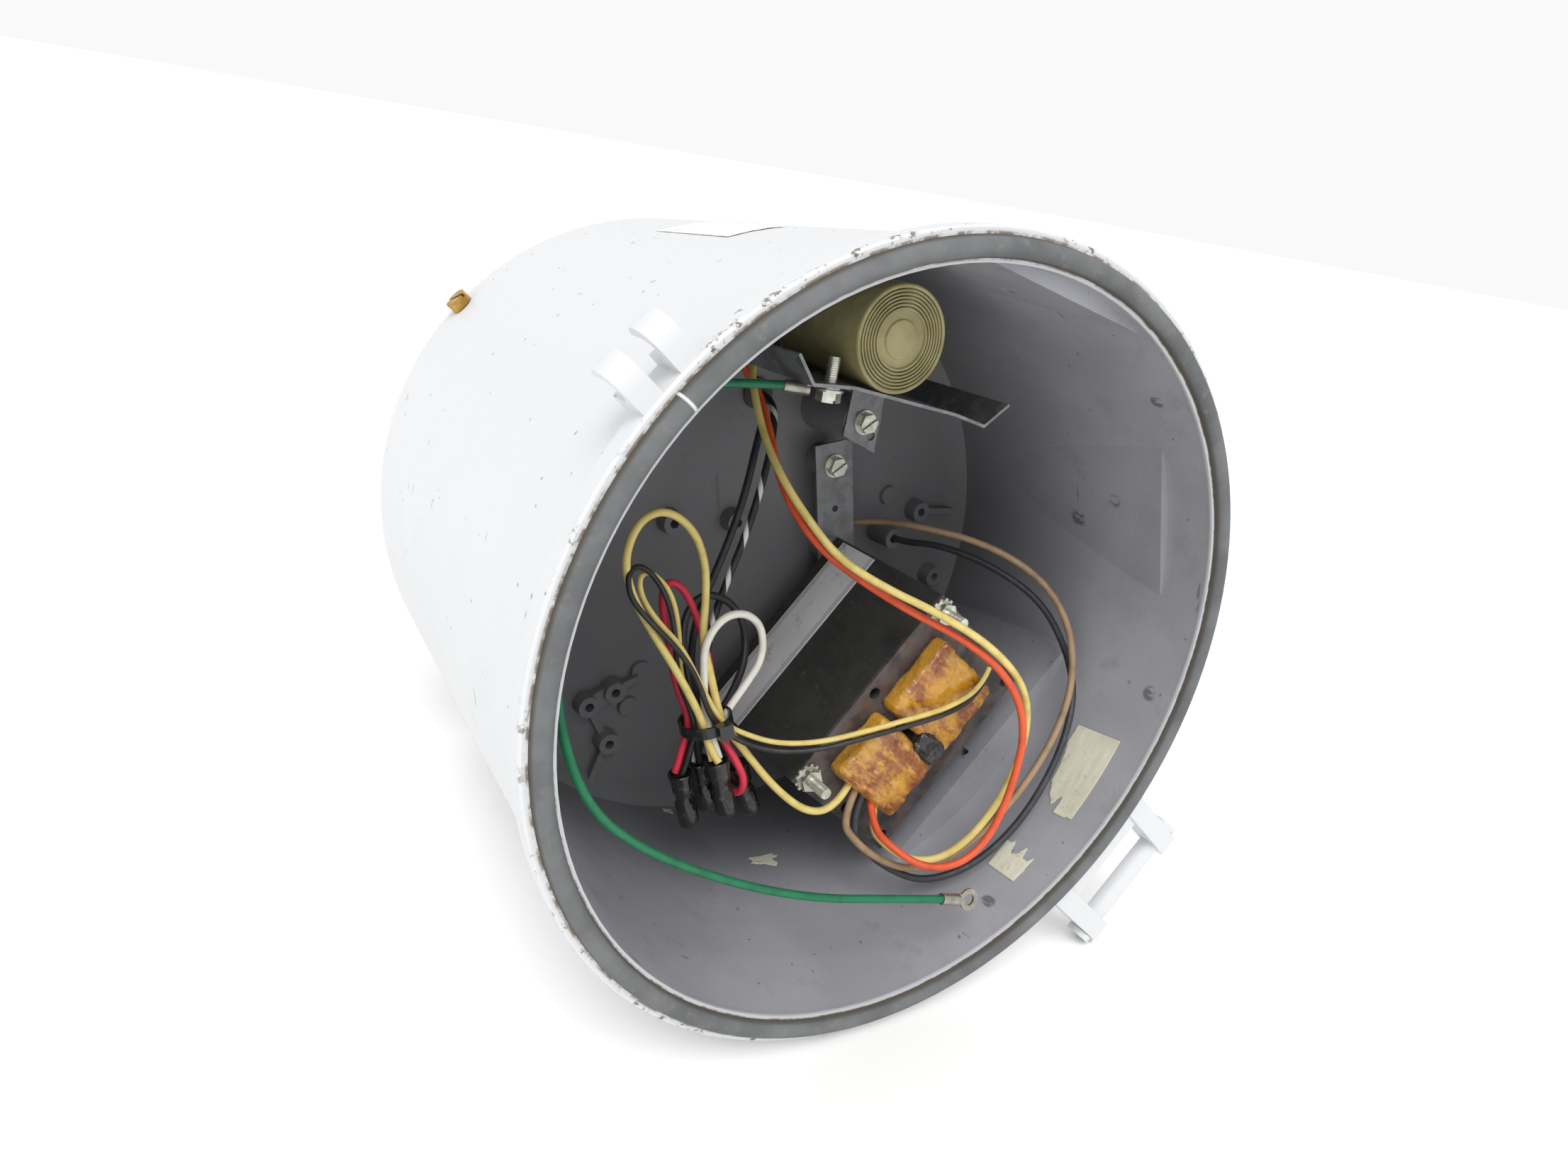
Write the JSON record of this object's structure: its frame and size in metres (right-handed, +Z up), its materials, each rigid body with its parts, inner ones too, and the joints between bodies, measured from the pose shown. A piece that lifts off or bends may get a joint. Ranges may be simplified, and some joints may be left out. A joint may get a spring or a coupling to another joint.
{
  "type": "luminaire ballast housing",
  "caption": "Cast round ballast housing of an enclosed industrial discharge-lamp luminaire, open at its gasketed mouth, with core-and-coil ballast, capacitor, leads, latch loop and hinge hooks.",
  "frame": {"origin": "middle of the footprint, on the surface that the housing lies on", "axes": "+Z up; the open mouth faces -Y, tipped up by the body's own taper; X to the right seen from the mouth"},
  "size_m": [0.3184, 0.2716, 0.2999],
  "materials": {
    "grey_paint": "satin enamel over a die casting",
    "gasket_rubber": "matte",
    "rod_paint": "satin",
    "core_varnish": "satin black varnish",
    "bare_lamination": "oxidised",
    "winding_tape": "varnished amber tape",
    "sealed_joint": "gloss",
    "label_film": "matte silver-white",
    "zinc_steel": "bright zinc",
    "zinc_sheet": "galvanised",
    "olive_plastic": "satin",
    "black_plastic": "gloss",
    "clear_nylon": "translucent",
    "tinned_brass": "tinned",
    "porcelain": "glazed",
    "plated_shell": "nickel plate",
    "brass": "satin",
    "lead_orange": "satin",
    "lead_cream": "satin",
    "lead_brown": "satin",
    "lead_grey": "satin",
    "lead_black": "satin",
    "lead_white": "satin",
    "lead_red": "satin",
    "lead_green": "satin"
  },
  "bodies": {
    "housing": {"ballast_bolts": "zinc_steel", "ballast_label": "label_film", "ballast_strap": "zinc_sheet", "black_jumper": "lead_black", "bracket_screw": "zinc_steel", "cable_tie": "black_plastic", "capacitor_band": "zinc_sheet", "capacitor_bracket": "zinc_sheet", "capacitor_can": "olive_plastic", "capacitor_lead_cream": "lead_cream", "capacitor_lead_orange": "lead_orange", "capacitor_lid": "black_plastic", "capacitor_terminals": "tinned_brass", "coil_1": "winding_tape", "coil_2": "winding_tape", "coil_splice": "sealed_joint", "core_end_plate": "bare_lamination", "core_laminations": "core_varnish", "flag_terminals": "clear_nylon", "floor_grommet": "gasket_rubber", "free_ring_terminal": "tinned_brass", "ground_lead": "lead_green", "ground_ring_terminal": "tinned_brass", "ground_screw": "zinc_steel", "housing_casting": "grey_paint", "lamp_contact": "tinned_brass", "lamp_screw_shell": "plated_shell", "lampholder_body": "porcelain", "lampholder_lead_black": "lead_black", "lampholder_lead_white": "lead_white", "lampholder_screws": "zinc_steel", "lampholder_terminals": "tinned_brass", "red_lead": "lead_red", "rim_gasket": "gasket_rubber", "star_washer_nuts": "zinc_steel", "starter_lead_black": "lead_black", "starter_lead_yellow": "lead_cream", "strap_screw": "zinc_steel", "tap_lead_brown": "lead_brown", "tap_lead_grey": "lead_grey", "tap_lead_yellow": "lead_cream", "white_jumper": "lead_white", "wire_connector_1": "black_plastic", "wire_connector_2": "black_plastic", "wire_connector_3": "black_plastic", "wire_connector_4": "black_plastic"},
    "latch_rod": {"latch_rod": "rod_paint"},
    "set_screw_1": {"set_screw_1": "brass"},
    "set_screw_2": {"set_screw_2": "brass"}
  },
  "joints": [
    {"name": "latch_rod_turn", "type": "hinge", "parent": "housing", "child": "latch_rod", "pos_m": [0.13293, -0.12451, 0.0286], "axis": [0.6495, 0.0458, 0.7589], "continuous": true},
    {"name": "set_screw_1_travel", "type": "slide", "parent": "housing", "child": "set_screw_1", "axis": [-0.7603, 0.0391, 0.6484], "range_m": [0, 0.008]},
    {"name": "set_screw_2_travel", "type": "slide", "parent": "housing", "child": "set_screw_2", "axis": [0.7603, -0.0391, -0.6484], "range_m": [0, 0.008]}
  ]
}
